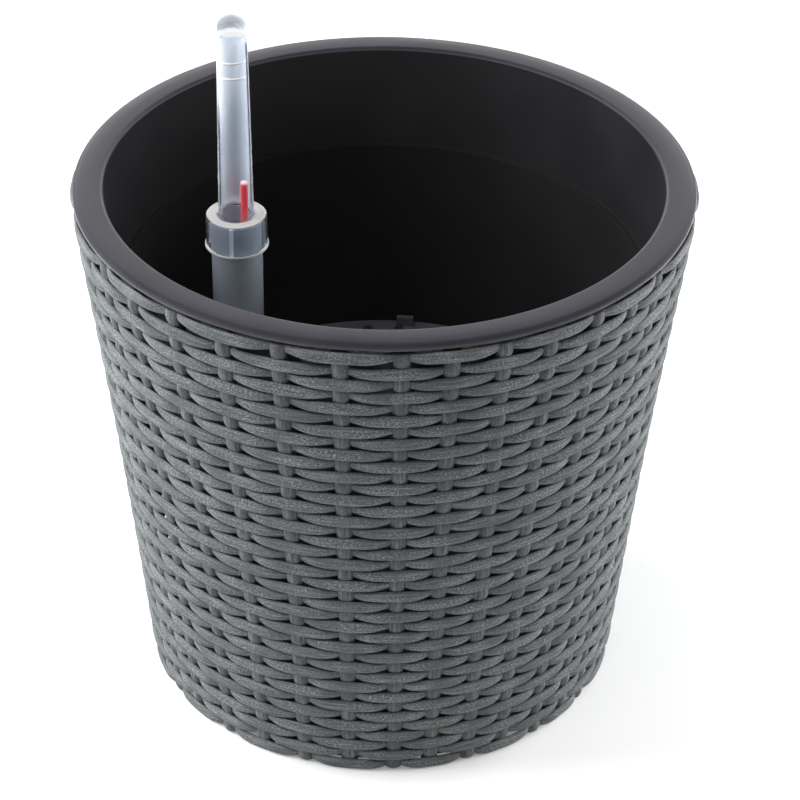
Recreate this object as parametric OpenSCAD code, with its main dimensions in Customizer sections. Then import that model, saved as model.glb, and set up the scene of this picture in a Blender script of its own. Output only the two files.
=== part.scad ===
// Self-watering pot: a woven basket round a plastic liner, with a false floor,
// a filling pipe and a float gauge. Millimetres, +Z up, origin on the ground
// under the middle of the pot. The gauge stands on the -X side.

/* [Pot] */
// Outer diameter of the liner's rim
rim_d = 300; // [290:1:310]
// Height of the rim's top above the ground
pot_h = 272; // [260:1:285]
// Outer diameter of the wicker at the ground
foot_d = 243; // [236:1:250]
// How far the wicker stands out past the rim
brim_overhang = 1.5; // [0.5:0.25:3]

/* [Wicker] */
// Number of upright stakes, even so that each row closes on itself
stake_count = 36; // [30:2:40]
// Thickness of a stake
stake_d = 5; // [4:0.25:6]
// Thickness of a weaver strand
strand_t = 3.4; // [2.6:0.1:4]
// Gap left between a strand and the stakes that it passes
weave_gap = 0.5; // [0.45:0.05:0.8]
// Number of woven rows between the two borders
row_count = 37; // [33:1:37]
// Gap left between one row and the next
row_gap = 0.4; // [0.2:0.1:0.8]
// Height of the foot border
foot_h = 7; // [6:0.5:10]
// Inside diameter of the foot border
foot_bore_d = 206; // [196:1:210]
// Height of the top border
border_h = 8.5; // [7:0.5:11]
// Depth of the sockets that hold the stakes' ends in both borders
stake_socket = 5; // [3:0.5:5.5]
// Gap left round a stake in its sockets
stake_fit = 0.15; // [0.1:0.05:0.3]
// Bevel on the edges of both borders
border_bevel = 1.2; // [0.5:0.1:2]

/* [Base board] */
// Thickness of the board that the liner stands on
board_t = 4; // [4:0.5:8]
// Gap left between the board and the weave round it
board_gap = 0.8; // [0.5:0.1:2]
// Diameter of the hole that gives access to the drain plug
access_d = 32; // [28:1:34]
// Number of holes in the board that let water through
weep_count = 8; // [4:1:12]
// Diameter of those holes
weep_d = 10; // [6:1:14]
// Radius of the circle that they lie on
weep_ring_r = 70; // [50:1:85]

/* [Liner] */
// Wall thickness of the liner
liner_t = 2.2; // [1.8:0.1:3]
// Thickness of the liner's floor
floor_t = 2.6; // [2:0.1:4]
// Gap left between the liner and the weave
liner_gap = 1.5; // [1:0.1:3]
// Height of the step that the reservoir plate rests on
ledge_h = 114; // [100:1:125]
// Width of that step
ledge_w = 3; // [2.5:0.25:4]
// Height of the shoulder at the lower end of the wall's upper band
band_h = 219; // [205:1:230]
// How far the wall steps in at that shoulder
band_step = 3; // [1.5:0.25:3.5]
// Thickness of the rim
rim_t = 3.4; // [2.8:0.1:4]
// Gap left between the rim and the top border
rim_gap = 0.8; // [0.4:0.1:2]
// Width of the part of the rim that slopes down to its outer edge
rim_slope_w = 4.6; // [3:0.1:6]
// Drop of that slope
rim_slope_drop = 0.9; // [0.4:0.1:1.2]
// Radius of the rounding at the rim's outer edge
rim_round = 0.8; // [0.4:0.1:1]
// Radius of the rounding where the wall runs into the rim
mouth_round = 2; // [1:0.25:3]
// Bevel at the liner's bottom edge
liner_bevel = 4; // [2:0.5:6]

/* [Drain] */
// Diameter of the drain hole
drain_d = 14; // [10:1:16]
// Height of the boss round the hole, above the floor
drain_boss_h = 5; // [3:0.5:8]
// Wall thickness of that boss
drain_boss_t = 3; // [2:0.5:4]
// Diameter of the plug's head
plug_head_d = 24; // [21:1:26]
// Thickness of the plug's head
plug_head_t = 2.4; // [2:0.1:2.5]
// Thickness of the seal under the head
seal_t = 1.4; // [1:0.1:1.5]
// Gap left between the plug and the hole
drain_fit = 0.2; // [0.1:0.05:0.4]
// Width of the coin slot in the plug's head
coin_slot_w = 2.6; // [1.5:0.1:4]
// Depth of that slot
coin_slot_depth = 1.2; // [0.6:0.1:1.6]

/* [Reservoir plate] */
// Thickness of the plate
plate_t = 3; // [2.6:0.1:4]
// Gap left between the plate and the liner's wall
plate_gap = 0.5; // [0.3:0.1:1]
// Number of drain holes in the outer ring
outer_hole_count = 40; // [20:1:48]
// Gap left between those holes and the plate's edge
outer_hole_edge = 4.8; // [4.2:0.1:6]
// Number of drain holes in the inner ring
inner_hole_count = 12; // [6:1:16]
// Diameter of the holes
hole_d = 5; // [3:0.5:5]
// Gap left between the outer holes and the wick cups
station_gap = 6; // [5:0.5:8]
// Gap left between the wick cups and the stiffening ring
rib_gap = 4.3; // [3:0.1:6]
// Height of the stiffening ring under the plate
rib_h = 6; // [3:0.5:10]
// Thickness of that ring
rib_t = 2; // [1.5:0.1:3]
// Width of a lifting lug at the plate's edge
lug_w = 9; // [6:0.5:14]
// Height of a lug above the plate
lug_h = 5; // [3:0.5:8]
// Thickness of a lug
lug_t = 3; // [2:0.25:4]
// Direction of the first lug, seen from above
lug_angle = 84; // [75:1:95]

/* [Wick cups] */
// Outer diameter of a cup under the plate
cup_top_d = 48; // [40:1:52]
// Outer diameter of a cup at its floor
cup_bottom_d = 32; // [26:1:38]
// Wall thickness of a cup
cup_t = 1.8; // [1.4:0.1:2.4]
// How far a cup's flange reaches past its wall
cup_flange_w = 2.5; // [2:0.25:3]
// Thickness of the flange, which is let into the plate
cup_flange_t = 1.5; // [1:0.1:1.6]
// Gap left between a cup and the plate
cup_fit = 0.2; // [0.1:0.05:0.4]
// Gap left between the cups and the liner's floor
cup_lift = 0.6; // [0.3:0.1:1]
// Number of slots round a cup, in each tier
cup_slot_count = 8; // [6:1:10]
// Width of a slot
cup_slot_w = 3; // [2:0.25:4]
// Height of a slot
cup_slot_h = 24; // [16:1:28]
// Height of the wall between the tiers, and under the lower one
cup_slot_gap = 14; // [10:1:16]

/* [Pipe] */
// Outer diameter of the pipe
pipe_d = 25; // [22:0.5:26]
// Wall thickness of the pipe
pipe_t = 1.8; // [1.4:0.1:2]
// Distance of the pipe's top below the rim's top
pipe_top_drop = 22.7; // [15:0.1:40]
// Height of the collar on the plate that holds the pipe
collar_h = 8; // [5:0.5:14]
// Wall thickness of that collar
collar_t = 2.6; // [2:0.1:4]
// Gap left between the pipe and the pieces round it
pipe_fit = 0.2; // [0.1:0.05:0.4]
// How far the pipe's shoulder reaches past it, over the collar
shoulder_w = 2; // [1.5:0.1:3]
// Height of the shoulder
shoulder_h = 3; // [2:0.25:5]
// Wall thickness of the pipe's slotted foot
pipe_foot_t = 1.8; // [1.4:0.1:2.4]
// Height of the foot's wall above its floor
pipe_foot_h = 18; // [14:1:24]
// Number of water slots in the foot
inlet_count = 6; // [4:1:8]
// Width of a water slot
inlet_w = 3; // [2:0.25:4]
// Height of a water slot
inlet_h = 10; // [6:0.5:12]

/* [Gauge cap] */
// Outer diameter of the cap's skirt at the top
skirt_top_d = 30; // [28.5:0.1:31]
// Outer diameter of the bead at the skirt's lower edge
skirt_bead_d = 31.2; // [31:0.1:33]
// Height of that bead
skirt_bead_h = 1.6; // [1:0.1:2.5]
// Height of the cap's skirt, from its lower edge to its top
skirt_h = 17.3; // [14:0.1:22]
// Thickness of the skirt and of the cap's top
skirt_t = 1.3; // [1:0.1:1.4]
// Rounding of the skirt's upper edge
skirt_round = 1; // [0.4:0.1:1.2]
// Number of grip ribs inside the skirt
grip_count = 4; // [3:1:8]
// Width of a grip rib
grip_w = 1.2; // [0.8:0.1:2]
// Direction of the first rib, seen from above
grip_angle = 262; // [225:1:315]
// Length of the sight finger above the cap's top
finger_l = 106; // [100:0.5:120]
// Outer diameter of the finger at its base
finger_base_d = 17.4; // [17:0.1:19]
// Outer diameter of the finger under its dome
finger_top_d = 14.3; // [14.3:0.1:16]
// Wall thickness of the finger
finger_t = 1; // [0.7:0.05:1]
// Thickness of the plastic in the finger's tip
finger_tip_t = 7.5; // [3:0.5:9]
// Radius of the fillet at the finger's base
finger_fillet = 1.6; // [0.8:0.1:2.2]
// Height of the full mark above the cap's top
mark_h = 76; // [70:0.5:85]
// Distance between the two lines of the mark
mark_pitch = 8; // [4:0.5:10]
// Height of one line of the mark
mark_line_h = 1.2; // [0.8:0.1:2]
// How far a line stands out of the finger
mark_relief = 0.35; // [0.2:0.05:0.5]
// Angle round the finger that a line covers
mark_sweep = 110; // [60:5:160]

/* [Float] */
// Outer diameter of the float
float_d = 19; // [16:0.5:19.5]
// Height of the float
float_h = 38; // [30:1:50]
// Bevel on the float's edges
float_bevel = 1.5; // [0.5:0.25:3]
// Diameter of the red rod
rod_d = 3.6; // [3:0.1:4]
// Distance of the rod from the pipe's axis
rod_offset = 4.2; // [3:0.1:4.3]
// Depth of the rod's socket in the float
rod_socket = 12; // [8:1:20]
// Height of the rod's tip above the cap's top when the reservoir is empty
rod_show = 17.5; // [8:0.5:20]
// Gap left between the rod and its socket
rod_fit = 0.1; // [0.05:0.05:0.2]
// Gap left between the resting float and the pipe's foot
float_gap = 0.3; // [0.2:0.1:0.6]

/* [Hidden] */
$fn = 96;
// Thin overlap that lets a cut pass cleanly through a face
cut = 0.5;

// Wicker: the middle of the weave follows a straight slope from foot to top
rim_r = rim_d / 2;
brim_r = rim_r + brim_overhang;
foot_r = foot_d / 2;
wicker_h = pot_h - rim_t - rim_gap;
weave_half = stake_d / 2 + weave_gap + strand_t;
wall_foot_r = foot_r - weave_half;
wall_slope = (brim_r - foot_r) / wicker_h;
stake_lean = atan(wall_slope);
stake_pitch = 360 / stake_count;
rows_h = wicker_h - foot_h - border_h;
row_pitch = rows_h / row_count;
wave_depth = stake_d / 2 + weave_gap + strand_t / 2;
// Sides of a stake's section, and points that each weaver has per stake
stake_sides = 8;
samples = 4;
stake_corner_d = stake_d / cos(180 / stake_sides);
stake_bore_d = stake_corner_d + 2 * stake_fit;
// Depth that a stake stands clear of the end of its socket
socket_end = 0.5;

function wall_r(z) = wall_foot_r + wall_slope * z;
function weave_inner_r(z) = wall_r(z) - weave_half;
function row_z(row) = foot_h + (row - 1) * row_pitch;
function row_name(row) = str("weaver_", row < 10 ? "0" : "", row);

// Liner
board_top = foot_h + board_t;
board_r = weave_inner_r(foot_h) - board_gap;
floor_top = board_top + floor_t;
rim_under = pot_h - rim_t;
drain_r = drain_d / 2;
plug_stem_r = drain_r - drain_fit;
plug_stem_h = seal_t + floor_t + drain_boss_h;

function liner_r(z) = weave_inner_r(z) - liner_gap;
function liner_low_r(z) = liner_r(z) - band_step;
function liner_step_r(z) = liner_low_r(z) - ledge_w;
function arc(centre_r, centre_z, radius, from, to, steps = 6) =
    [for (i = [0:steps]) let (a = from + (to - from) * i / steps)
        [centre_r + radius * cos(a), centre_z + radius * sin(a)]];

// Insert: the pipe and the cups share one circle, evenly spaced
cup_count = 4;
station_angle = 360 / (cup_count + 1);
plate_r = liner_low_r(ledge_h) - liner_t - plate_gap;
plate_top = ledge_h + plate_t;
outer_hole_r = plate_r - outer_hole_edge - hole_d / 2;
cup_flange_r = cup_top_d / 2 + cup_flange_w;
station_r = outer_hole_r - hole_d / 2 - station_gap - cup_flange_r;
rib_r = station_r - cup_flange_r - cup_fit - rib_gap - rib_t;
inner_hole_r = rib_r - hole_d;
cup_bottom = floor_top + cup_lift;
cup_h = plate_top - cup_bottom;
collar_top = plate_top + collar_h;
pipe_r = pipe_d / 2;
pipe_bore_r = pipe_r - pipe_t;
pipe_top = pot_h - pipe_top_drop;
pipe_foot_bottom = floor_top + cup_lift;
pipe_bottom = pipe_foot_bottom + pipe_foot_t;

function cup_angle(index) = 180 + station_angle * index;
function cup_name(index) = str("wick_cup_", index);

// Gauge: the cap's top rests on the pipe's end
cap_gap = 0.1;
cap_top = pipe_top + cap_gap + skirt_t;
cap_bottom = cap_top - skirt_h;
grip_reach = skirt_top_d / 2 - skirt_t - pipe_r - pipe_fit;
finger_base_r = finger_base_d / 2;
finger_top_r = finger_top_d / 2;
dome_z = cap_top + finger_l - finger_top_r;
finger_bore_top_r = finger_top_r - finger_t;
finger_bore_dome_z = cap_top + finger_l - finger_tip_t - finger_bore_top_r;
float_bottom = pipe_bottom + float_gap;
float_top = float_bottom + float_h;
rod_bottom = float_top - rod_socket;
rod_tip = cap_top + rod_show;

function finger_r(z) = finger_base_r + (finger_top_r - finger_base_r) * (z - cap_top) / (dome_z - cap_top);

// The axis of every stake, as a place to draw along it from the ground up
module along_stakes() {
    for (index = [0:stake_count - 1])
        rotate([0, 0, index * stake_pitch])
            translate([wall_foot_r, 0, 0])
                rotate([0, stake_lean, 0])
                    children();
}

// A ring with bevelled edges
module bevelled_ring(inner_r, outer_r, bottom, top) {
    rotate_extrude()
        polygon([
            [inner_r + border_bevel, bottom],
            [outer_r - border_bevel, bottom],
            [outer_r, bottom + border_bevel],
            [outer_r, top - border_bevel],
            [outer_r - border_bevel, top],
            [inner_r + border_bevel, top],
            [inner_r, top - border_bevel],
            [inner_r, bottom + border_bevel]]);
}

// Lowest row of the basket, with a socket for the lower end of each stake
module foot_border() {
    color("dimgray")
        difference() {
            bevelled_ring(foot_bore_d / 2, foot_r, 0, foot_h);
            along_stakes()
                translate([0, 0, foot_h - stake_socket])
                    cylinder(d = stake_bore_d, h = stake_socket + foot_h);
        }
}

// Disc in the bottom of the basket, lying on the foot border
module base_board() {
    color("saddlebrown")
        difference() {
            translate([0, 0, foot_h])
                cylinder(r = board_r, h = board_t);
            translate([0, 0, foot_h - cut])
                cylinder(d = access_d, h = board_t + 2 * cut);
            for (index = [0:weep_count - 1])
                rotate([0, 0, index * 360 / weep_count])
                    translate([weep_ring_r, 0, foot_h - cut])
                        cylinder(d = weep_d, h = board_t + 2 * cut);
        }
}

// All the uprights, from the foot border's sockets to those of the top border
module stakes() {
    lower_end = foot_h - stake_socket + socket_end;
    upper_end = wicker_h - border_h + stake_socket - socket_end;
    color("dimgray")
        along_stakes()
            translate([0, 0, lower_end])
                rotate([0, 0, 180 / stake_sides])
                    cylinder(d = stake_corner_d, h = upper_end - lower_end, $fn = stake_sides);
}

// One woven row: a wavy ring that passes outside one stake and inside the next
module weaver(row) {
    point_count = samples * stake_count;
    step = 360 / point_count;
    middle_r = wall_r(row_z(row) + row_pitch / 2);
    crest = wave_depth / cos(90 / samples);
    phase = 180 * (row % 2);
    angles = [for (index = [0:point_count - 1]) (index + 0.5) * step];
    wave = [for (a = angles) middle_r + crest * cos(180 * a / stake_pitch + phase)];
    outline = [for (side = [1, -1]) for (index = [0:point_count - 1])
        (wave[index] + side * strand_t / 2) * [cos(angles[index]), sin(angles[index])]];
    color("slategray")
        translate([0, 0, row_z(row) + row_gap / 2])
            linear_extrude(height = row_pitch - row_gap)
                polygon(outline, [
                    [for (index = [0:point_count - 1]) index],
                    [for (index = [0:point_count - 1]) point_count + index]]);
}

// Last row of the basket, with a socket for the upper end of each stake
module top_border() {
    border_bottom = wicker_h - border_h;
    color("dimgray")
        difference() {
            bevelled_ring(weave_inner_r(wicker_h), brim_r, border_bottom, wicker_h);
            along_stakes()
                cylinder(d = stake_bore_d, h = border_bottom + stake_socket);
        }
}

// Outline of the rim's section, from its underside round to the liner's inner wall
function rim_outline() =
    let (crown_r = rim_r - rim_slope_w)
    let (edge_z = pot_h - rim_slope_drop - rim_round)
    let (mouth_r = liner_r(rim_under) - liner_t)
    concat(
        arc(rim_r - rim_round, rim_under + rim_round, rim_round, -90, 0),
        arc(rim_r - rim_round, edge_z, rim_round, 0, 90),
        [[crown_r, pot_h]],
        arc(mouth_r + mouth_round, pot_h - mouth_round, mouth_round, 90, 180));

// Inner pot with its flat rim, the shoulder, the step for the plate and the drain boss
module liner_pot() {
    band_under = band_h - liner_t;
    step_under = ledge_h - liner_t;
    inner_bottom_r = liner_step_r(board_top) - liner_t;
    color("black")
        difference() {
            union() {
                rotate_extrude()
                    polygon(concat(
                        [[0, board_top],
                         [liner_step_r(board_top) - liner_bevel, board_top],
                         [liner_step_r(board_top + liner_bevel), board_top + liner_bevel],
                         [liner_step_r(step_under), step_under],
                         [liner_low_r(step_under), step_under],
                         [liner_low_r(band_under), band_under],
                         [liner_r(band_under), band_under],
                         [liner_r(rim_under), rim_under]],
                        rim_outline(),
                        [[liner_r(band_h) - liner_t, band_h],
                         [liner_low_r(band_h) - liner_t, band_h],
                         [liner_low_r(ledge_h) - liner_t, ledge_h],
                         [liner_step_r(ledge_h) - liner_t, ledge_h],
                         [inner_bottom_r, floor_top + liner_bevel],
                         [inner_bottom_r - liner_bevel, floor_top],
                         [0, floor_top]]));
                translate([0, 0, board_top + floor_t / 2])
                    cylinder(r = drain_r + drain_boss_t, h = floor_t / 2 + drain_boss_h);
            }
            translate([0, 0, board_top - cut])
                cylinder(r = drain_r, h = floor_t + drain_boss_h + 2 * cut);
        }
}

// Plug that closes the drain hole from below, turned with a coin
module drain_plug() {
    head_bottom = board_top - seal_t - plug_head_t;
    color("black")
        difference() {
            union() {
                translate([0, 0, head_bottom])
                    cylinder(d = plug_head_d, h = plug_head_t);
                translate([0, 0, head_bottom + plug_head_t / 2])
                    cylinder(r = plug_stem_r, h = plug_head_t / 2 + plug_stem_h);
            }
            translate([-plug_head_d / 3, -coin_slot_w / 2, head_bottom - cut])
                cube([plug_head_d * 2 / 3, coin_slot_w, coin_slot_depth + cut]);
        }
}

// Soft ring between the plug's head and the liner's floor
module drain_seal() {
    color("darkred")
        translate([0, 0, board_top - seal_t])
            difference() {
                cylinder(d = plug_head_d - 2 * drain_fit, h = seal_t);
                translate([0, 0, -cut])
                    cylinder(r = drain_r, h = seal_t + 2 * cut);
            }
}

// A place on the circle of stations, at the given direction
module at_station(angle) {
    translate([station_r * cos(angle), station_r * sin(angle), 0])
        children();
}

// A ring of holes through the plate
module plate_holes(count, ring_r) {
    for (index = [0:count - 1])
        rotate([0, 0, (index + 0.5) * 360 / count])
            translate([ring_r, 0, ledge_h - cut])
                cylinder(d = hole_d, h = plate_t + 2 * cut);
}

// False floor with holes for the cups and the pipe, resting on the liner's step
module reservoir_plate() {
    color("dimgray")
        difference() {
            union() {
                translate([0, 0, ledge_h])
                    cylinder(r = plate_r, h = plate_t);
                at_station(180)
                    translate([0, 0, ledge_h + plate_t / 2])
                        cylinder(r = pipe_r + pipe_fit + collar_t, h = collar_h + plate_t / 2);
                translate([0, 0, ledge_h - rib_h])
                    difference() {
                        cylinder(r = rib_r + rib_t, h = rib_h + plate_t / 2);
                        translate([0, 0, -cut])
                            cylinder(r = rib_r, h = rib_h + cut);
                    }
                for (side = [0, 180])
                    rotate([0, 0, lug_angle + side])
                        translate([plate_r - lug_t - liner_t, -lug_w / 2, ledge_h + plate_t / 2])
                            cube([lug_t, lug_w, plate_t / 2 + lug_h]);
            }
            for (index = [1:cup_count])
                at_station(cup_angle(index)) {
                    translate([0, 0, ledge_h - cut])
                        cylinder(d = cup_top_d + 2 * cup_fit, h = plate_t + 2 * cut);
                    translate([0, 0, plate_top - cup_flange_t])
                        cylinder(r = cup_flange_r + cup_fit, h = cup_flange_t + cut);
                }
            at_station(180)
                translate([0, 0, ledge_h - cut])
                    cylinder(r = pipe_r + pipe_fit, h = plate_t + collar_h + 2 * cut);
            plate_holes(inner_hole_count, inner_hole_r);
            plate_holes(outer_hole_count, outer_hole_r);
        }
}

// Tapered cup that dips soil into the reservoir, hung in the plate by its flange
module wick_cup(index) {
    top_r = cup_top_d / 2;
    bottom_r = cup_bottom_d / 2;
    flange_under = plate_top - cup_flange_t;
    color("dimgray")
        at_station(cup_angle(index))
            difference() {
                rotate_extrude()
                    polygon([
                        [0, cup_bottom],
                        [bottom_r, cup_bottom],
                        [top_r, flange_under],
                        [cup_flange_r, flange_under],
                        [cup_flange_r, plate_top],
                        [top_r - cup_t, plate_top],
                        [bottom_r - cup_t, cup_bottom + cup_t],
                        [0, cup_bottom + cup_t]]);
                for (tier = [0, 1])
                    for (slot = [0:cup_slot_count - 1])
                        rotate([0, 0, slot * 360 / cup_slot_count])
                            translate([bottom_r / 2, -cup_slot_w / 2,
                                       cup_bottom + cup_slot_gap + tier * (cup_slot_h + cup_slot_gap)])
                                cube([top_r, cup_slot_w, cup_slot_h]);
            }
}

// Slots that let water into the pipe, cut through its lower end and its foot
module inlets() {
    for (index = [0:inlet_count - 1])
        rotate([0, 0, index * 360 / inlet_count])
            translate([pipe_bore_r / 2, -inlet_w / 2, pipe_bottom + pipe_foot_t])
                cube([pipe_r, inlet_w, inlet_h]);
}

// Pipe for filling and for the float, with a shoulder that sits on the plate's collar
module standpipe() {
    color("slategray")
        at_station(180)
            difference() {
                union() {
                    translate([0, 0, pipe_bottom])
                        cylinder(r = pipe_r, h = pipe_top - pipe_bottom);
                    translate([0, 0, collar_top])
                        cylinder(r = pipe_r + shoulder_w, h = shoulder_h);
                }
                translate([0, 0, pipe_bottom - cut])
                    cylinder(r = pipe_bore_r, h = pipe_top - pipe_bottom + 2 * cut);
                inlets();
            }
}

// Slotted cap on the pipe's lower end, which keeps the float in
module pipe_foot() {
    foot_bore_r = pipe_r + pipe_fit;
    color("dimgray")
        at_station(180)
            difference() {
                translate([0, 0, pipe_foot_bottom])
                    cylinder(r = foot_bore_r + pipe_foot_t, h = pipe_foot_t + pipe_foot_h);
                translate([0, 0, pipe_bottom])
                    cylinder(r = foot_bore_r, h = pipe_foot_h + cut);
                inlets();
            }
}

// Outline of the clear cap's section, up its outside and down its inside
function cap_outline() =
    let (skirt_r = skirt_top_d / 2)
    let (bead_r = skirt_bead_d / 2)
    let (bead_slope = bead_r - skirt_r)
    let (fillet_r = finger_r(cap_top) + finger_fillet)
    concat(
        [[skirt_r - skirt_t, cap_bottom],
         [bead_r, cap_bottom],
         [bead_r, cap_bottom + skirt_bead_h],
         [skirt_r, cap_bottom + skirt_bead_h + bead_slope]],
        arc(skirt_r - skirt_round, cap_top - skirt_round, skirt_round, 0, 90),
        arc(fillet_r, cap_top + finger_fillet, finger_fillet, 270, 180),
        arc(0, dome_z, finger_top_r, 0, 90, 12),
        arc(0, finger_bore_dome_z, finger_bore_top_r, 90, 0, 10),
        [[finger_r(cap_top) - finger_t, cap_top],
         [finger_r(cap_top) - finger_t, cap_top - skirt_t],
         [skirt_r - skirt_t, cap_top - skirt_t]]);

// Clear gauge cap: sight finger, top, skirt with grip ribs and the full mark
module gauge_cap() {
    grip_r = skirt_top_d / 2 - skirt_t;
    color("white", 0.4)
        at_station(180) {
            rotate_extrude()
                polygon(cap_outline());
            for (index = [0:grip_count - 1])
                rotate([0, 0, grip_angle + index * 360 / grip_count])
                    translate([grip_r - grip_reach, -grip_w / 2, cap_bottom])
                        cube([grip_reach + skirt_t / 2, grip_w, skirt_h - skirt_t / 2]);
            for (line = [0, 1])
                translate([0, 0, cap_top + mark_h + line * mark_pitch])
                    rotate([0, 0, 270 - mark_sweep / 2])
                        rotate_extrude(angle = mark_sweep)
                            translate([finger_r(cap_top + mark_h) - finger_t / 2, 0])
                                square([finger_t / 2 + mark_relief, mark_line_h]);
        }
}

// Float that the water lifts in the pipe, with a socket for the rod
module float() {
    float_r = float_d / 2;
    color("white")
        at_station(180)
            difference() {
                rotate_extrude()
                    polygon([
                        [0, float_bottom],
                        [float_r - float_bevel, float_bottom],
                        [float_r, float_bottom + float_bevel],
                        [float_r, float_top - float_bevel],
                        [float_r - float_bevel, float_top],
                        [0, float_top]]);
                translate([rod_offset, 0, rod_bottom])
                    cylinder(d = rod_d + 2 * rod_fit, h = rod_socket + cut);
            }
}

// Red rod that shows the water level in the finger
module float_rod() {
    color("red")
        at_station(180)
            translate([rod_offset, 0, rod_bottom])
                cylinder(d = rod_d, h = rod_tip - rod_bottom);
}

foot_border();
base_board();
stakes();
for (row = [1:row_count])
    weaver(row);
top_border();
liner_pot();
drain_plug();
drain_seal();
reservoir_plate();
for (index = [1:cup_count])
    wick_cup(index);
standpipe();
pipe_foot();
gauge_cap();
float();
float_rod();
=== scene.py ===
"""Looks of a self-watering pot: a grey woven basket round a black liner, with a clear water gauge.

Metres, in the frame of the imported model: +Z up, ground at 0, the gauge on the -X side.
"""

import math

import bmesh
import bpy
from mathutils import Matrix, Quaternion, Vector, noise


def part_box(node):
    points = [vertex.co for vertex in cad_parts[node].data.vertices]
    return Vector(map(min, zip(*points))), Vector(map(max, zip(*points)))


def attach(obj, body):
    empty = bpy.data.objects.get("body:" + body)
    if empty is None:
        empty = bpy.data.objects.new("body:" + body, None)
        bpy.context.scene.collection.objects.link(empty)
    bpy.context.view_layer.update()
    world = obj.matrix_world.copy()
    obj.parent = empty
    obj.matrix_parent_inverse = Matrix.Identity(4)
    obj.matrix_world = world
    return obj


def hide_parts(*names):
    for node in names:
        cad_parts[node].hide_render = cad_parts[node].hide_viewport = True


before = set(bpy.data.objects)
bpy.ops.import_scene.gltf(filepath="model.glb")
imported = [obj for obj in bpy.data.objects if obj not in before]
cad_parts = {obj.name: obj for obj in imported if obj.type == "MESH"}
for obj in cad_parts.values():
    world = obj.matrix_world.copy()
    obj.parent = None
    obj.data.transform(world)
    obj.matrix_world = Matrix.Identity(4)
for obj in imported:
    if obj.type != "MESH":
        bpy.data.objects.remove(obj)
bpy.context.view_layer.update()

MM = 0.001
TURN = 2 * math.pi

# Sizes read from the frame
FOOT_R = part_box("foot_border")[1].x
BRIM_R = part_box("top_border")[1].x
WICKER_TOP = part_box("top_border")[1].z
BORDER_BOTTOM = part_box("top_border")[0].z
FOOT_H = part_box("foot_border")[1].z
RIM_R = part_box("liner_pot")[1].x
POT_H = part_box("liner_pot")[1].z
LINER_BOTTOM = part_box("liner_pot")[0].z
PIPE_X = (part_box("float")[0].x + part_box("float")[1].x) / 2
PIPE_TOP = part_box("standpipe")[1].z
CAP_BOTTOM, CAP_TIP = (corner.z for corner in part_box("gauge_cap"))
ROD_LOW, ROD_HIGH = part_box("float_rod")
SHOULDER_Z = 219 * MM
ROWS = sorted(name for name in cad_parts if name.startswith("weaver_"))

# Weave, measured outwards from the middle of the wall where nothing else is said
STAKE_COUNT = 36
STAKE_PITCH = TURN / STAKE_COUNT
ROW_PITCH = (BORDER_BOTTOM - FOOT_H) / len(ROWS)
WALL_HALF = 6.4 * MM
WALL_SLOPE = (BRIM_R - FOOT_R) / WICKER_TOP
WALL_HOLLOW = 1.4 * MM
STRAND_OUT = 4.9 * MM
STRAND_IN = 1.4 * MM
STRAND_THICK = 2.8 * MM
STRAND_TALL = 6.5 * MM
STRAND_SLIM = 4.3 * MM
# Shares of the way from one stake to the next: the dip behind a stake, and the taper beside it
STRAND_DIP = 0.30
STRAND_TAPER = 0.75
STRAND_WANDER = 0.35 * MM
ROW_TILT = 3.3 * MM
ROW_SAG = 1.2 * MM
STEPS_PER_STAKE = 12
SECTION_POINTS = 12
# Below 1, the section is squarer than an ellipse
SECTION_POWER = 0.8
# Width of the grain's pattern for each radian round a strand
GRAIN_WIDTH = 3 * MM
# Stakes round the front, in degrees off an even spacing, and the number of the first of them
FRONT_STRAY = (-1.3, -0.1, 0.6, 1.5, 2.5, 3.2, 2.0, 1.5, 0.6, 0.8, 0.4, -1.7)
FIRST_FRONT = 22


def wall_r(z):
    """Radius of the middle of the woven wall at a height: a taper that is a little hollow half way up."""
    return FOOT_R - WALL_HALF + WALL_SLOPE * z - WALL_HOLLOW * math.sin(math.pi * z / WICKER_TOP)


def ease(share):
    """Smooth step from 0 to 1."""
    return share * share * (3 - 2 * share)


def blend(low, high, share):
    """The value at a share of the way from low to high."""
    return low + (high - low) * share


def stake_stray(index):
    """How far a stake stands off its even place, in radians."""
    front = (index - FIRST_FRONT) % STAKE_COUNT
    if front < len(FRONT_STRAY):
        return math.radians(FRONT_STRAY[front])
    return math.radians(1.6) * noise.noise((index % STAKE_COUNT * 1.7, 3.1, 0.4))


def stake_angle(place):
    """Direction of a place counted in stakes."""
    before = math.floor(place)
    return place * STAKE_PITCH + blend(stake_stray(before), stake_stray(before + 1), place - before)


def row_lift(z, angle):
    """How far the rows at a height stand off level at one side: they climb a little to the right."""
    return (ROW_TILT * math.cos(angle) - ROW_SAG) * math.sin(math.pi * z / WICKER_TOP)


def finish_piece(bm, name, body, nodes=(), material=None):
    """Turns a bmesh into a piece that rides on a body and stands for the given nodes."""
    mesh = bpy.data.meshes.new(name)
    bm.to_mesh(mesh)
    bm.free()
    piece = bpy.data.objects.new(name, mesh)
    bpy.context.scene.collection.objects.link(piece)
    mesh.materials.append(material)
    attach(piece, body)
    if nodes:
        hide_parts(*nodes)
    return piece


# Materials

def mix_colour(tree, factor, first, second):
    """A colour mix node: sockets are linked, colours are set."""
    node = tree.nodes.new("ShaderNodeMix")
    node.data_type = "RGBA"
    for socket, value in ((node.inputs[0], factor), (node.inputs[6], first), (node.inputs[7], second)):
        if isinstance(value, bpy.types.NodeSocket):
            tree.links.new(value, socket)
        else:
            socket.default_value = value
    return node.outputs[2]


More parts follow.
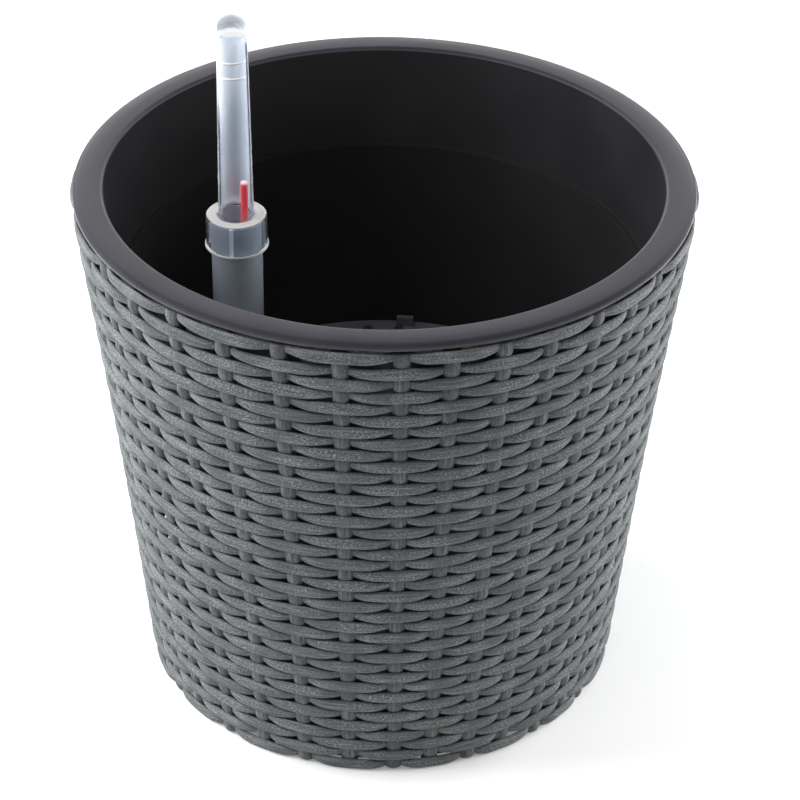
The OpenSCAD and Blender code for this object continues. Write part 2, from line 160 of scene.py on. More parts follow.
def span(tree, value, low, high, to_low=0.0, to_high=1.0):
    """Maps a value from one span to another, clamped."""
    node = tree.nodes.new("ShaderNodeMapRange")
    tree.links.new(value, node.inputs["Value"])
    node.inputs["From Min"].default_value = low
    node.inputs["From Max"].default_value = high
    node.inputs["To Min"].default_value = to_low
    node.inputs["To Max"].default_value = to_high
    return node.outputs["Result"]


def sums(tree, operation, *values):
    """A value worked out from one or two linked values by an operation of the Math node."""
    node = tree.nodes.new("ShaderNodeMath")
    node.operation = operation
    for value, entry in zip(values, node.inputs):
        tree.links.new(value, entry)
    return node.outputs["Value"]


def bump(tree, height, strength, depth):
    """A bump from a height, with its depth in metres."""
    node = tree.nodes.new("ShaderNodeBump")
    node.inputs["Strength"].default_value = strength
    node.inputs["Distance"].default_value = depth
    tree.links.new(height, node.inputs["Height"])
    return node.outputs["Normal"]


def object_point(tree):
    """The shaded point in the piece's own coordinates."""
    return tree.nodes.new("ShaderNodeTexCoord").outputs["Object"]


def cloud(tree, point, per_metre, detail=2.0, roughness=0.5):
    """A noise value with that many features per metre."""
    node = tree.nodes.new("ShaderNodeTexNoise")
    node.inputs["Scale"].default_value = per_metre
    node.inputs["Detail"].default_value = detail
    node.inputs["Roughness"].default_value = roughness
    tree.links.new(point, node.inputs["Vector"])
    return node.outputs["Fac"]


def squeezed(tree, point, share):
    """The point with its first axis squeezed, so that a pattern on it stretches along that axis."""
    node = tree.nodes.new("ShaderNodeMapping")
    node.inputs["Scale"].default_value = (share, 1.0, 1.0)
    tree.links.new(point, node.inputs["Vector"])
    return node.outputs["Vector"]


def grain_group():
    """Fine grain shared by the finishes: a height for the bump, pale specks and slow patches."""
    group = bpy.data.node_groups.new("grain", "ShaderNodeTree")
    face = group.interface
    face.new_socket("Point", in_out="INPUT", socket_type="NodeSocketVector")
    face.new_socket("Grains per metre", in_out="INPUT", socket_type="NodeSocketFloat")
    face.new_socket("Patches per metre", in_out="INPUT", socket_type="NodeSocketFloat")
    for name in ("Height", "Specks", "Patches"):
        face.new_socket(name, in_out="OUTPUT", socket_type="NodeSocketFloat")
    source = group.nodes.new("NodeGroupInput")
    sink = group.nodes.new("NodeGroupOutput")
    grains = group.nodes.new("ShaderNodeTexNoise")
    grains.inputs["Detail"].default_value = 3.0
    grains.inputs["Roughness"].default_value = 0.65
    patches = group.nodes.new("ShaderNodeTexNoise")
    patches.inputs["Detail"].default_value = 3.0
    for node, scale in ((grains, "Grains per metre"), (patches, "Patches per metre")):
        group.links.new(source.outputs["Point"], node.inputs["Vector"])
        group.links.new(source.outputs[scale], node.inputs["Scale"])
    group.links.new(grains.outputs["Fac"], sink.inputs["Height"])
    group.links.new(span(group, grains.outputs["Fac"], 0.55, 0.72), sink.inputs["Specks"])
    group.links.new(patches.outputs["Fac"], sink.inputs["Patches"])
    return group


GRAIN = grain_group()


def new_finish(name, grains, patches):
    """A material with its grain in place: returns it, its tree, its shader and the grain's outputs."""
    material = bpy.data.materials.new(name)
    material.use_nodes = True
    tree = material.node_tree
    grain = tree.nodes.new("ShaderNodeGroup")
    grain.node_tree = GRAIN
    grain.inputs["Grains per metre"].default_value = grains
    grain.inputs["Patches per metre"].default_value = patches
    tree.links.new(object_point(tree), grain.inputs["Point"])
    return material, tree, tree.nodes["Principled BSDF"], grain.outputs


def strand_finish(name, speck_share):
    """Matt grey resin: streaks along the strand, clusters of pale specks, and a tone that drifts."""
    material, tree, shader, grain = new_finish(name, 1300.0, 60.0)
    tone = tree.nodes.new("ShaderNodeAttribute")
    tone.attribute_name = "tone"
    along = tree.nodes.new("ShaderNodeTexCoord").outputs["UV"]
    fibres = cloud(tree, squeezed(tree, along, 0.07), 850.0, 3.0, 0.6)
    flecks = cloud(tree, squeezed(tree, along, 0.6), 1500.0, 2.0, 0.6)
    plain = mix_colour(tree, grain["Patches"], (0.102, 0.112, 0.118, 1), (0.174, 0.187, 0.195, 1))
    shaded = mix_colour(tree, tone.outputs["Fac"], (0.100, 0.109, 0.114, 1), plain)
    sandy = mix_colour(tree, span(tree, grain["Height"], 0.30, 0.58), (0.070, 0.075, 0.079, 1), shaded)
    streaked = mix_colour(tree, span(tree, fibres, 0.36, 0.52, 0.55, 0.0), sandy, (0.060, 0.064, 0.067, 1))
    worn = mix_colour(tree, span(tree, fibres, 0.52, 0.72, 0.0, 0.45), streaked, (0.32, 0.335, 0.34, 1))
    clusters = span(tree, grain["Patches"], 0.36, 0.62, 0.25 * speck_share, speck_share)
    flecked = mix_colour(tree, span(tree, flecks, 0.50, 0.68), (0, 0, 0, 1), clusters)
    tree.links.new(mix_colour(tree, flecked, worn, (0.52, 0.54, 0.54, 1)), shader.inputs["Base Color"])
    shader.inputs["Roughness"].default_value = 0.8
    shader.inputs["Specular IOR Level"].default_value = 0.3
    rough = mix_colour(tree, 0.35, grain["Height"], fibres)
    tree.links.new(bump(tree, rough, 0.6, 0.5 * MM), shader.inputs["Normal"])
    return material


def moulded_finish(name, dark, pale, roughness, grains=900.0, depth=0.06 * MM, sheen=0.5):
    """Moulded plastic: a fine spark-eroded grain, with slow changes of shade and gloss."""
    material, tree, shader, grain = new_finish(name, grains, 22.0)
    shader.inputs["Specular IOR Level"].default_value = sheen
    colour = mix_colour(tree, span(tree, grain["Patches"], 0.3, 0.7), dark, pale)
    tree.links.new(colour, shader.inputs["Base Color"])
    gloss = span(tree, grain["Patches"], 0.25, 0.75, roughness - 0.06, roughness + 0.08)
    tree.links.new(gloss, shader.inputs["Roughness"])
    tree.links.new(bump(tree, grain["Height"], 0.35, depth), shader.inputs["Normal"])
    return material


def clear_finish(name, milk, cloudy, dark, pale):
    """Clear moulding: a share of milkiness, a tint, and a slightly cloudy surface."""
    material, tree, shader, grain = new_finish(name, 600.0, 30.0)
    tree.links.new(mix_colour(tree, grain["Patches"], dark, pale), shader.inputs["Base Color"])
    gloss = span(tree, grain["Patches"], 0.3, 0.7, cloudy * 0.85, cloudy * 1.15)
    tree.links.new(gloss, shader.inputs["Roughness"])
    shader.inputs["IOR"].default_value = 1.46
    shader.inputs["Transmission Weight"].default_value = 1 - milk
    tree.links.new(bump(tree, grain["Height"], 0.04, 0.03 * MM), shader.inputs["Normal"])
    return material


def rod_finish():
    """Bright red rod with a pale painted end."""
    material, tree, shader, grain = new_finish("rod_red", 700.0, 90.0)
    parts = tree.nodes.new("ShaderNodeSeparateXYZ")
    tree.links.new(object_point(tree), parts.inputs["Vector"])
    red = mix_colour(tree, grain["Patches"], (0.82, 0.050, 0.062, 1), (0.94, 0.075, 0.090, 1))
    end = span(tree, parts.outputs["Z"], ROD_HIGH.z - 1.2 * MM, ROD_HIGH.z - 0.9 * MM)
    tree.links.new(mix_colour(tree, end, red, (0.80, 0.55, 0.60, 1)), shader.inputs["Base Color"])
    shader.inputs["Roughness"].default_value = 0.35
    tree.links.new(bump(tree, grain["Height"], 0.1, 0.05 * MM), shader.inputs["Normal"])
    return material


def plywood_finish():
    """Plain plywood: grain lines along X, with pores."""
    material, tree, shader, grain = new_finish("plywood", 900.0, 30.0)
    lines = cloud(tree, squeezed(tree, object_point(tree), 0.06), 260.0, 4.0, 0.6)
    wood = mix_colour(tree, span(tree, lines, 0.35, 0.65), (0.20, 0.115, 0.055, 1), (0.42, 0.28, 0.16, 1))
    aged = mix_colour(tree, span(tree, grain["Patches"], 0.3, 0.75, 0.0, 0.35), wood, (0.16, 0.10, 0.06, 1))
    tree.links.new(aged, shader.inputs["Base Color"])
    shader.inputs["Roughness"].default_value = 0.75
    tree.links.new(bump(tree, lines, 0.3, 0.2 * MM), shader.inputs["Normal"])
    return material


STRAND = strand_finish("strand_resin", 0.65)
CANE = strand_finish("cane_resin", 0.15)
# The satin rim finish is the liner's own colour. Its dull and matt copies for the inner wall are darker as
# painted shade inside the pot, and have their own roughness and sheen.
LINER = moulded_finish("liner_satin", (0.0262, 0.0242, 0.0325, 1), (0.0318, 0.0296, 0.0392, 1), 0.32)
LINER_BAND_PAINTED_SHADE = moulded_finish("liner_dull_painted_shade", (0.0115, 0.0115, 0.0127, 1), (0.0150, 0.0150, 0.0165, 1), 0.5,
                            sheen=0.3)
LINER_DEEP_PAINTED_SHADE = moulded_finish("liner_matt_painted_shade", (0.0110, 0.0110, 0.0116, 1), (0.0145, 0.0145, 0.0153, 1), 0.7,
                            sheen=0.12)
INSERT = moulded_finish("insert_charcoal", (0.080, 0.080, 0.086, 1), (0.110, 0.110, 0.117, 1), 0.5)
# The standpipe's grey is lighter than the plastic's own, as painted light that makes up for the shade inside
# the pot.
PIPE_PAINTED_LIGHT = moulded_finish("pipe_grey_painted_light", (0.355, 0.395, 0.470, 1), (0.400, 0.445, 0.515, 1), 0.28, 700.0, 0.03 * MM)
FLOAT = moulded_finish("float_white", (0.72, 0.72, 0.69, 1), (0.82, 0.82, 0.80, 1), 0.7, 500.0, 0.2 * MM)
SEAL = moulded_finish("seal_rubber", (0.018, 0.018, 0.018, 1), (0.03, 0.03, 0.03, 1), 0.65)
CLEAR = clear_finish("clear_plastic", 0.012, 0.06, (0.80, 0.84, 0.89, 1), (0.86, 0.89, 0.93, 1))
DOME = clear_finish("dome_plastic", 0.02, 0.2, (0.88, 0.885, 0.895, 1), (0.93, 0.935, 0.94, 1))
# The skirt's darker tint is painted shade: it stands in for the shadow that the moulding, which casts none,
# would throw on the pipe inside it.
SKIRT_PAINTED_SHADE = clear_finish("skirt_plastic_painted_shade", 0.02, 0.08, (0.66, 0.695, 0.75, 1), (0.72, 0.755, 0.80, 1))
FROSTED = clear_finish("frosted_plastic", 0.25, 0.5, (0.75, 0.80, 0.87, 1), (0.82, 0.86, 0.91, 1))
DULL = clear_finish("dulled_plastic", 0.45, 0.6, (0.66, 0.65, 0.62, 1), (0.72, 0.71, 0.68, 1))
# The pale finish serves the printed full marks and the grip ribs. On the skirt's bead it is a painted glow,
# for light carried down the clear wall to its edge.
PALE_MARK_AND_GLOW = moulded_finish("mark_pale_and_painted_glow", (0.80, 0.80, 0.83, 1), (0.88, 0.88, 0.90, 1), 0.5)
RED = rod_finish()
PLYWOOD = plywood_finish()


# Basket

def woven(row, proud=0.0):
    """The course of a woven row: where its middle lies and how tall it is at a place counted in stakes."""
    def course(place):
        from_stake = abs((place + row) % 2 - 1)
        dip = math.exp(-(from_stake / STRAND_DIP) ** 2)
        full = ease(min(1, from_stake / STRAND_TAPER))
        return proud + blend(STRAND_OUT, STRAND_IN, dip), blend(STRAND_SLIM, STRAND_TALL, full)
    return course


def lay_strand(bm, seed, mid_z, thick, course):
    """Adds one ring of strand: a round section spun about the pot's axis, then shaped along its course."""
    first_vert = len(bm.verts)
    first_face = len(bm.faces)
    ring_r = wall_r(mid_z)
    round_r = 1 * MM
    section = Matrix.Translation((ring_r, 0, mid_z)) @ Matrix.Rotation(math.pi / 2, 4, "X")
    circle = bmesh.ops.create_circle(bm, segments=SECTION_POINTS, radius=round_r, matrix=section)["verts"]
    edges = list({edge for vert in circle for edge in vert.link_edges})
    bmesh.ops.spin(bm, geom=circle + edges, cent=(0, 0, 0), axis=(0, 0, 1), angle=TURN,
                   steps=STAKE_COUNT * STEPS_PER_STAKE, use_merge=True)
    bm.verts.ensure_lookup_table()
    bm.faces.ensure_lookup_table()
    tone = bm.verts.layers.float["tone"]
    grain = bm.loops.layers.uv["grain"]
    stations = {}
    spots = {}
    for vert in bm.verts[first_vert:]:
        step = round(math.atan2(vert.co.y, vert.co.x) / STAKE_PITCH * STEPS_PER_STAKE)
        if step not in stations:
            stations[step] = strand_station(step / STEPS_PER_STAKE % STAKE_COUNT, seed, ring_r, mid_z, course)
        angle, middle, half_tall, stretch, lift, shade = stations[step]
        turn = math.atan2(vert.co.z - mid_z, math.hypot(vert.co.x, vert.co.y) - ring_r)
        out = math.copysign(abs(math.cos(turn)) ** SECTION_POWER, math.cos(turn)) * thick / 2 * stretch
        up = math.copysign(abs(math.sin(turn)) ** SECTION_POWER, math.sin(turn)) * half_tall + lift
        radius = ring_r + middle + out + WALL_SLOPE * up
        vert.co = (radius * math.cos(angle), radius * math.sin(angle), mid_z + up)
        vert[tone] = shade
        spots[vert] = (step / STEPS_PER_STAKE * STAKE_PITCH, turn)
    for face in bm.faces[first_face:]:
        face.smooth = True
        along, around = spots[face.verts[0]]
        for loop in face.loops:
            near = spots[loop.vert]
            u = along + math.remainder(near[0] - along, TURN)
            v = around + math.remainder(near[1] - around, TURN)
            loop[grain].uv = (u * ring_r, v * GRAIN_WIDTH + seed)


def strand_station(place, seed, ring_r, mid_z, course):
    """Shape of a strand at one place: direction, middle, half height, stretch, lift and shade."""
    nearby = 0.02
    middle, tall = course(place)
    slope = (course(place + nearby)[0] - course(place - nearby)[0]) / (2 * nearby * STAKE_PITCH * ring_r)
    even = place * STAKE_PITCH
    x, y = math.cos(even), math.sin(even)
    drift = noise.noise((2.2 * x, 2.2 * y, seed))
    swell = noise.noise((9 * x, 9 * y, seed + 9))
    wander = noise.noise((11 * x, 11 * y, seed + 21))
    angle = stake_angle(place)
    half_tall = tall / 2 * (1 + 0.08 * swell)
    stretch = math.sqrt(1 + slope * slope)
    lift = row_lift(mid_z, angle) + STRAND_WANDER * wander
    return angle, middle, half_tall, stretch, lift, 0.62 + 0.7 * drift


def strand_bmesh():
    """An empty bmesh with the layers that the strand finish reads: a tone, and a place along the grain."""
    bm = bmesh.new()
    bm.verts.layers.float.new("tone")
    bm.loops.layers.uv.new("grain")
    return bm


def make_rows():
    """The woven rows between the two borders, one piece for each."""
    for row, node in enumerate(ROWS, 1):
        bm = strand_bmesh()
        lay_strand(bm, row, FOOT_H + (row - 0.5) * ROW_PITCH, STRAND_THICK, woven(row))
        bmesh.ops.recalc_face_normals(bm, faces=bm.faces)
        finish_piece(bm, f"strand_row_{row:02d}", "basket", (node,), STRAND)


def make_borders():
    """The last row under the rim with a strand inside it, and the first row with the coil inside it."""
    row = len(ROWS) + 1
    border_h = WICKER_TOP - BORDER_BOTTOM
    bm = strand_bmesh()
    lay_strand(bm, row, WICKER_TOP - STRAND_TALL / 2, STRAND_THICK, woven(row, 0.4 * MM))
    lay_strand(bm, row + 1, BORDER_BOTTOM + border_h / 2, STRAND_THICK,
               lambda place: (-4.4 * MM, border_h - 1 * MM))
    bmesh.ops.recalc_face_normals(bm, faces=bm.faces)
    finish_piece(bm, "brim_row", "basket", ("top_border",), STRAND)
    bm = strand_bmesh()
    lay_strand(bm, 0, FOOT_H / 2, STRAND_THICK, woven(0))
    coil_thick = 5 * MM
    for turn in range(2):
        lay_strand(bm, 50 + turn, FOOT_H / 2, coil_thick,
                   lambda place: (-4.6 * MM - turn * coil_thick, FOOT_H))
    for vert in bm.verts:
        vert.co.z = max(vert.co.z, 0)
    bmesh.ops.recalc_face_normals(bm, faces=bm.faces)
    finish_piece(bm, "foot_row", "basket", ("foot_border",), STRAND)


def make_stakes():
    """The uprights: round canes that lean with the wall and swell out between the rows that cross them."""
    # Reach of a cane's section in millimetres: outwards, inwards, and aside behind a row and between two
    reach_out, reach_in = 2.8, 4.2
    reach_aside = 4.1, 4.0
    # How far a cane stands out from the middle of the wall, behind a row and between two
    stand_out = 1.2, 2.9
    first_seed = 60
    bm = strand_bmesh()
    bottom = 1 * MM
    top = WICKER_TOP - 1 * MM
    rings = (len(ROWS) + 2) * 4
    step = (top - bottom) / rings
    circle = bmesh.ops.create_circle(bm, segments=10, radius=1 * MM,
                                     matrix=Matrix.Translation((BRIM_R, 0, bottom)))["verts"]
    bmesh.ops.spin(bm, geom=circle + bm.edges[:], cent=(0, 0, 0), axis=(0, 0, 1), dvec=(0, 0, step), angle=0,
                   steps=rings)
    bmesh.ops.holes_fill(bm, edges=[edge for edge in bm.edges if edge.is_boundary], sides=0)
    bmesh.ops.recalc_face_normals(bm, faces=bm.faces)
    bmesh.ops.spin(bm, geom=bm.verts[:] + bm.edges[:] + bm.faces[:], cent=(0, 0, 0), axis=(0, 0, 1),
                   angle=TURN - STAKE_PITCH, steps=STAKE_COUNT - 1, use_duplicate=True)
    tone = bm.verts.layers.float["tone"]
    grain = bm.loops.layers.uv["grain"]
    spots = {}
    for vert in bm.verts:
        index = round(math.atan2(vert.co.y, vert.co.x) / STAKE_PITCH) % STAKE_COUNT
        on_cane = Matrix.Rotation(-index * STAKE_PITCH, 3, "Z") @ vert.co
        z = vert.co.z
        side = on_cane.x - BRIM_R, on_cane.y
        angle = stake_angle(index)
        row = (z - row_lift(z, angle) - FOOT_H) / ROW_PITCH + 0.5
        swell = 0.5 - 0.5 * math.cos(math.pi * (row + index))
        out = wall_r(z) + blend(*stand_out, swell) * MM + side[0] * (reach_out if side[0] > 0 else reach_in)
        aside = side[1] * blend(*reach_aside, swell)
        vert.co = Matrix.Rotation(angle, 3, "Z") @ Vector((out, aside, z))
        vert[tone] = 0.55 + 0.3 * noise.noise((index * 1.3, 7.7, 2.9))
        spots[vert] = (index, math.atan2(side[1], side[0]))
    for face in bm.faces:
        face.smooth = len(face.verts) == 4
        index, around = spots[face.verts[0]]
        for loop in face.loops:
            v = around + math.remainder(spots[loop.vert][1] - around, TURN)
            loop[grain].uv = (loop.vert.co.z, v * GRAIN_WIDTH + first_seed + index)
    finish_piece(bm, "stake_canes", "basket", ("stakes",), CANE)


# Turned pieces

def turned(corners, centre_x=0.0, steps=160, turn=TURN, start=0.0):
    """A bmesh of a turned piece: a section of corners (radius, height, rounding), spun about an axis."""
    bm = bmesh.new()
    verts = [bm.verts.new((centre_x + radius, 0, height)) for radius, height, _ in corners]
    bm.faces.new(verts)
    for vert, (_, _, rounding) in zip(verts, corners):
        if rounding:
            bmesh.ops.bevel(bm, geom=[vert], offset=rounding, offset_type="OFFSET", segments=5, profile=0.5,
                            affect="VERTICES", clamp_overlap=True, material=-1)
    bmesh.ops.delete(bm, geom=bm.faces[:], context="FACES_ONLY")
    axis_point = (centre_x, 0, 0)
    bmesh.ops.rotate(bm, verts=bm.verts, cent=axis_point, matrix=Matrix.Rotation(start, 3, "Z"))
    whole = math.isclose(turn, TURN)
    bmesh.ops.spin(bm, geom=bm.verts[:] + bm.edges[:], cent=axis_point, axis=(0, 0, 1), angle=turn,
                   steps=steps, use_merge=whole)
    bmesh.ops.remove_doubles(bm, verts=bm.verts, dist=0.001 * MM)
    if not whole:
        bmesh.ops.holes_fill(bm, edges=[edge for edge in bm.edges if edge.is_boundary], sides=0)
    bmesh.ops.recalc_face_normals(bm, faces=bm.faces)
    for face in bm.faces:
        face.smooth = True
    return bm


def sharpen(piece, angle=35):
    """Keeps crisp edges crisp on a smooth-shaded piece."""
    piece.data.set_sharp_from_angle(angle=math.radians(angle))


def make_liner():
    """Inner pot: tapered wall with a shoulder and a step, flat rim, floor with a drain boss."""
    wall = 2.2 * MM
    gap = 1.5 * MM
    shoulder_w = 3 * MM
    step_z = 114 * MM
    step_w = 3 * MM
    rim_under = POT_H - 3.4 * MM
    floor_top = LINER_BOTTOM + 2.6 * MM
    drain_r = 7 * MM
    boss_r = drain_r + 3 * MM
    boss_top = floor_top + 5 * MM

    def band_r(z):
        return FOOT_R - 2 * WALL_HALF - gap + WALL_SLOPE * z

    def low_r(z):
        return band_r(z) - shoulder_w

    def reservoir_r(z):
        return low_r(z) - step_w

    corners = [
        (drain_r, LINER_BOTTOM, 0.3 * MM),
        (reservoir_r(LINER_BOTTOM), LINER_BOTTOM, 4 * MM),
        (reservoir_r(step_z - wall), step_z - wall, 0.6 * MM),
        (low_r(step_z - wall), step_z - wall, 0.6 * MM),
        (low_r(SHOULDER_Z - wall), SHOULDER_Z - wall, 0.6 * MM),
        (band_r(SHOULDER_Z - wall), SHOULDER_Z - wall, 0.6 * MM),
        (band_r(rim_under), rim_under, 0.5 * MM),
        (RIM_R, rim_under, 0.8 * MM),
        (RIM_R, POT_H - 1.4 * MM, 0.7 * MM),
        (RIM_R - 1.8 * MM, POT_H - 0.35 * MM, 1.0 * MM),
        (RIM_R - 5.2 * MM, POT_H, 2.2 * MM),
        (band_r(rim_under) - wall + 1.1 * MM, POT_H - 0.1 * MM, 0.9 * MM),
        (band_r(rim_under) - wall, POT_H - 1.2 * MM, 0.9 * MM),
        (band_r(SHOULDER_Z) - wall, SHOULDER_Z, 0.8 * MM),
        (low_r(SHOULDER_Z) - wall, SHOULDER_Z, 0.4 * MM),
        (low_r(step_z) - wall, step_z, 0.6 * MM),
        (reservoir_r(step_z) - wall, step_z, 0.6 * MM),
        (reservoir_r(floor_top) - wall, floor_top, 4 * MM),
        (boss_r, floor_top, 0.8 * MM),
        (boss_r, boss_top, 0.6 * MM),
        (drain_r, boss_top, 0.6 * MM)]
    piece = finish_piece(turned(corners, steps=192), "liner_shell", "liner", ("liner_pot",), LINER)
    for material in (LINER_BAND_PAINTED_SHADE, LINER_DEEP_PAINTED_SHADE):
        piece.data.materials.append(material)
    deep_top = SHOULDER_Z + 0.9 * MM
    band_top = POT_H - 1.7 * MM
    # Inside faces above the shoulder take the dull copy and those below it take the matt copy: their darker
    # colour is painted shade inside the pot.
    for face in piece.data.polygons:
        height = face.center.z
        outward = face.center.x * face.normal.x + face.center.y * face.normal.y > 0
        outside = outward or height < floor_top
        if height < deep_top and not outside:
            face.material_index = 2
        elif height < band_top and not outside:
            face.material_index = 1
    sharpen(piece)


def make_gauge():
    """Clear moulding: domed sight finger with a frosted back, on a skirt with a bead and grip ribs."""
    skirt_r = 15 * MM
    bead_r = 15.6 * MM
    bead_h = 1.6 * MM
    skirt = 1.3 * MM
    top = PIPE_TOP + 0.1 * MM + skirt
    finger = 1.0 * MM
    base_r = 8.7 * MM
    tip_r = 7.15 * MM
    bore_top = CAP_TIP - 7.5 * MM
    shoulder = CAP_TIP - tip_r
    corners = [
        (skirt_r - skirt, CAP_BOTTOM, 0.3 * MM),
        (bead_r, CAP_BOTTOM, 0.6 * MM),
        (bead_r, CAP_BOTTOM + bead_h, 0.5 * MM),
        (skirt_r, CAP_BOTTOM + bead_h + 0.6 * MM, 0.5 * MM),
        (skirt_r, top, 1.0 * MM),
        (base_r, top, 1.6 * MM),
        (tip_r, CAP_TIP, 6.4 * MM),
        (0, CAP_TIP, 0),
        (0, bore_top, 0),
        (tip_r - finger, bore_top, 5.4 * MM),
        (base_r - finger, top, 0.4 * MM),
        (base_r - finger, top - skirt, 0.3 * MM),
        (skirt_r - skirt, top - skirt, 0.4 * MM)]
    piece = finish_piece(turned(corners, PIPE_X, 96), "gauge_moulding", "gauge", ("gauge_cap",), CLEAR)
    piece.visible_shadow = False
    for material in (FROSTED, DULL, PALE_MARK_AND_GLOW, DOME, SKIRT_PAINTED_SHADE):
        piece.data.materials.append(material)
    for face in piece.data.polygons:
        height = face.center.z
        # The bead at the skirt's foot takes the pale finish as a painted glow of light carried down the clear
        # wall.
        if height < CAP_BOTTOM + bead_h + 0.1 * MM:
            face.material_index = 3
        elif abs(height - top) < 0.2 * MM and abs(face.normal.z) > 0.9:
            face.material_index = 2
        # The skirt takes the darker tint, as painted shade on the pipe seen through it.
        elif height < top - 0.3 * MM:
            face.material_index = 5
        elif height > bore_top + 1.5 * MM:
            face.material_index = 4
        elif height > top and face.center.y > 0:
            face.material_index = 1
    sharpen(piece, 40)
    bm = bmesh.new()
    rib_count = 4
    first_rib = 262
    rib_reach = 1.0 * MM
    rib_h = top - skirt - CAP_BOTTOM
    for index in range(rib_count):
        side = Matrix.Rotation(math.radians(first_rib + 360 / rib_count * index), 4, "Z")
        centre = Matrix.Translation((PIPE_X, 0, 0)) @ side @ Matrix.Translation(
            (skirt_r - skirt - rib_reach / 2 - 0.02 * MM, 0, CAP_BOTTOM + rib_h / 2))
        bmesh.ops.create_cube(bm, size=1, matrix=centre @ Matrix.Diagonal(
            (rib_reach, 1.8 * MM, rib_h - 0.1 * MM, 1)))
    bmesh.ops.bevel(bm, geom=bm.edges[:], offset=0.2 * MM, segments=2, profile=0.5, affect="EDGES",
                    material=-1)
    finish_piece(bm, "grip_ribs", "gauge", (), PALE_MARK_AND_GLOW)
    mark_proud = 0.35 * MM
    mark_h = 1.2 * MM
    mark_slope = 0.2 * MM
    for line in range(2):
        low = top + (76 + 8 * line) * MM
        high = low + mark_h
        radius = base_r + (tip_r - base_r) * (low - top) / (shoulder - top) + 0.02 * MM
        mark = turned([(radius, low, 0), (radius + mark_proud, low + mark_slope, 0.1 * MM),
                       (radius + mark_proud, high - mark_slope, 0.1 * MM), (radius, high, 0)],
                      PIPE_X, 24, math.radians(110), math.radians(215))
        finish_piece(mark, f"full_mark_{line + 1}", "gauge", (), PALE_MARK_AND_GLOW)


def make_rod():
    """Red indicator rod with a rounded end."""
    radius = (ROD_HIGH.x - ROD_LOW.x) / 2
    centre_x = (ROD_HIGH.x + ROD_LOW.x) / 2
    corners = [
        (0, ROD_LOW.z, 0),
        (radius, ROD_LOW.z, 0.3 * MM),
        (radius, ROD_HIGH.z, 0.7 * MM),
        (0, ROD_HIGH.z, 0)]
    finish_piece(turned(corners, centre_x, 32), "red_rod", "float", ("float_rod",), RED)


def dress_nodes():
    """Gives the solids that show as they are their finishes."""
    finishes = {"base_board": PLYWOOD, "drain_plug": LINER, "drain_seal": SEAL, "reservoir_plate": INSERT,
                "standpipe": PIPE_PAINTED_LIGHT, "pipe_foot": INSERT, "float": FLOAT}
    finishes.update({f"wick_cup_{index}": INSERT for index in range(1, 5)})
    for name, material in finishes.items():
        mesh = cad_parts[name].data
        mesh.materials.clear()
        mesh.materials.append(material)


# Stage

def make_floor():
    """Pale floor that keeps the pot's shadow near the pot and fades to white far from it."""
    under_foot = Matrix.Translation((0, 0, -0.2 * MM))
    bm = bmesh.new()
    bmesh.ops.create_grid(bm, x_segments=1, y_segments=1, size=6.0, matrix=under_foot)
    mesh = bpy.data.meshes.new("floor")
    bm.to_mesh(mesh)
    bm.free()
    floor = bpy.data.objects.new("floor", mesh)
    bpy.context.scene.collection.objects.link(floor)
    material = bpy.data.materials.new("pale_floor")
    material.use_nodes = True
    tree = material.node_tree
    shader = tree.nodes["Principled BSDF"]
    shader.inputs["Base Color"].default_value = (0.80, 0.80, 0.80, 1)
    shader.inputs["Roughness"].default_value = 0.9
    shader.inputs["Emission Color"].default_value = (1, 1, 1, 1)
    rays = tree.nodes.new("ShaderNodeLightPath")
    reach = tree.nodes.new("ShaderNodeVectorMath")
    reach.operation = "LENGTH"
    tree.links.new(object_point(tree), reach.inputs[0])
    far = sums(tree, "MULTIPLY", rays.outputs["Is Camera Ray"], span(tree, reach.outputs["Value"], 0.4, 1.6))
    near = span(tree, seen_rays(tree, rays), 0, 1, 0, 0.22)
    tree.links.new(sums(tree, "MAXIMUM", far, near), shader.inputs["Emission Strength"])
    mesh.materials.append(material)


def seen_rays(tree, rays):
    """1 for rays that the camera, a gloss or clear plastic sends, else 0."""
    total = rays.outputs["Is Camera Ray"]
    for name in ("Is Glossy Ray", "Is Transmission Ray"):
        total = sums(tree, "MAXIMUM", total, rays.outputs[name])
    return total


def make_world(ambient, overhead):
    """White to the camera and clear plastic, panels with a dimmer gap to gloss, and else a weak fill."""
    world = bpy.data.worlds.new("studio")
    bpy.context.scene.world = world
    world.use_nodes = True
    tree = world.node_tree
    parts = tree.nodes.new("ShaderNodeSeparateXYZ")
    tree.links.new(tree.nodes.new("ShaderNodeTexCoord").outputs["Generated"], parts.inputs["Vector"])
    height = parts.outputs["Z"]
    across = sums(tree, "ABSOLUTE", parts.outputs["X"])
    gap = span(tree, across, 0.02, 0.10, 0.32, 1.0)
    panels = sums(tree, "MULTIPLY", gap, span(tree, height, 0.57, 0.72, 1.0, 0.15))
    sweep = sums(tree, "MAXIMUM", panels, span(tree, height, 0.12, 0.30, 1.0, 0.0))
    rays = tree.nodes.new("ShaderNodeLightPath")
    strength = tree.nodes.new("ShaderNodeMix")
    tree.links.new(span(tree, height, 0.50, 0.90, ambient, overhead), strength.inputs["A"])
    tree.links.new(sweep, strength.inputs["B"])
    tree.links.new(rays.outputs["Is Glossy Ray"], strength.inputs["Factor"])
    shown = strength.outputs["Result"]
    for name in ("Is Camera Ray", "Is Transmission Ray"):
        shown = sums(tree, "MAXIMUM", shown, rays.outputs[name])
    background = tree.nodes["Background"]
    background.inputs["Color"].default_value = (1, 1, 1, 1)
    tree.links.new(shown, background.inputs["Strength"])


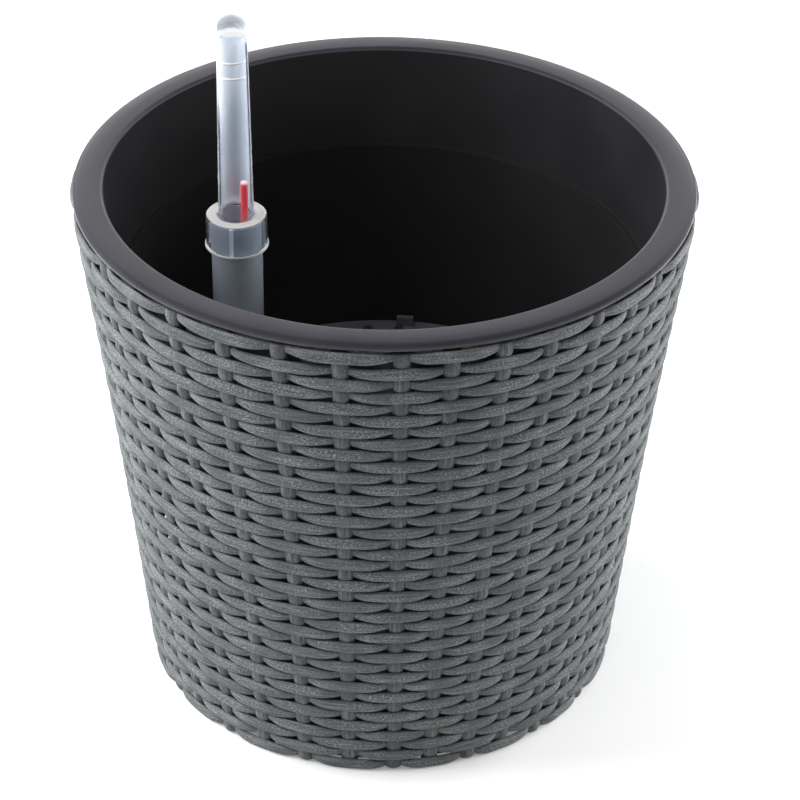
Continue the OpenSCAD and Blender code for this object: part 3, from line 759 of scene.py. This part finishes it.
def soft_box(name, place, size, power, mirrored):
    """A large soft lamp that faces the pot, and that a gloss mirrors or not."""
    lamp = bpy.data.lights.new(name, "AREA")
    lamp.shape = "RECTANGLE"
    lamp.size, lamp.size_y = size
    lamp.energy = power
    holder = bpy.data.objects.new(name, lamp)
    bpy.context.scene.collection.objects.link(holder)
    holder.location = place
    holder.visible_transmission = False
    holder.visible_glossy = mirrored
    holder.rotation_euler = (Vector((0, 0, POT_H / 2)) - Vector(place)).to_track_quat("-Z", "Y").to_euler()


def make_camera():
    """Camera at the photo's angle, aimed so that the pot sits in the frame as it does there."""
    distance = 1.450
    elevation = math.radians(34.32)
    roll = math.radians(0.66)
    focal_px = 2853
    frame_px = 800
    aim_right = 8.6 * MM
    aim_up = 4.9 * MM
    middle = Vector((0, 0, POT_H / 2))
    back = Vector((0, -math.cos(elevation), math.sin(elevation)))
    right = Vector((1, 0, 0))
    aim = middle + right * aim_right + right.cross(-back) * aim_up
    lens = bpy.data.cameras.new("camera")
    lens.sensor_width = 36
    lens.lens = focal_px / frame_px * lens.sensor_width
    lens.clip_start = 0.05
    camera = bpy.data.objects.new("camera", lens)
    bpy.context.scene.collection.objects.link(camera)
    camera.location = middle + back * distance
    turn = (aim - camera.location).to_track_quat("-Z", "Y") @ Quaternion((0, 0, 1), roll)
    camera.rotation_mode = "QUATERNION"
    camera.rotation_quaternion = turn
    bpy.context.scene.camera = camera


make_camera()
make_rows()
make_borders()
make_stakes()
make_liner()
make_gauge()
make_rod()
dress_nodes()
make_floor()
make_world(ambient=0.04, overhead=0.36)
soft_box("left_box", (-1.1, 0.22, 0.72), (1.2, 1.34), power=42, mirrored=False)
soft_box("right_box", (1.15, 0.42, 0.39), (1.2, 0.68), power=32, mirrored=False)
soft_box("back_box", (0, 1.6, 0.79), (1.6, 0.20), power=2.5, mirrored=True)
soft_box("front_box", (-0.15, -0.50, 1.40), (0.8, 0.6), power=4.5, mirrored=False)
bpy.context.scene.view_settings.view_transform = "Standard"
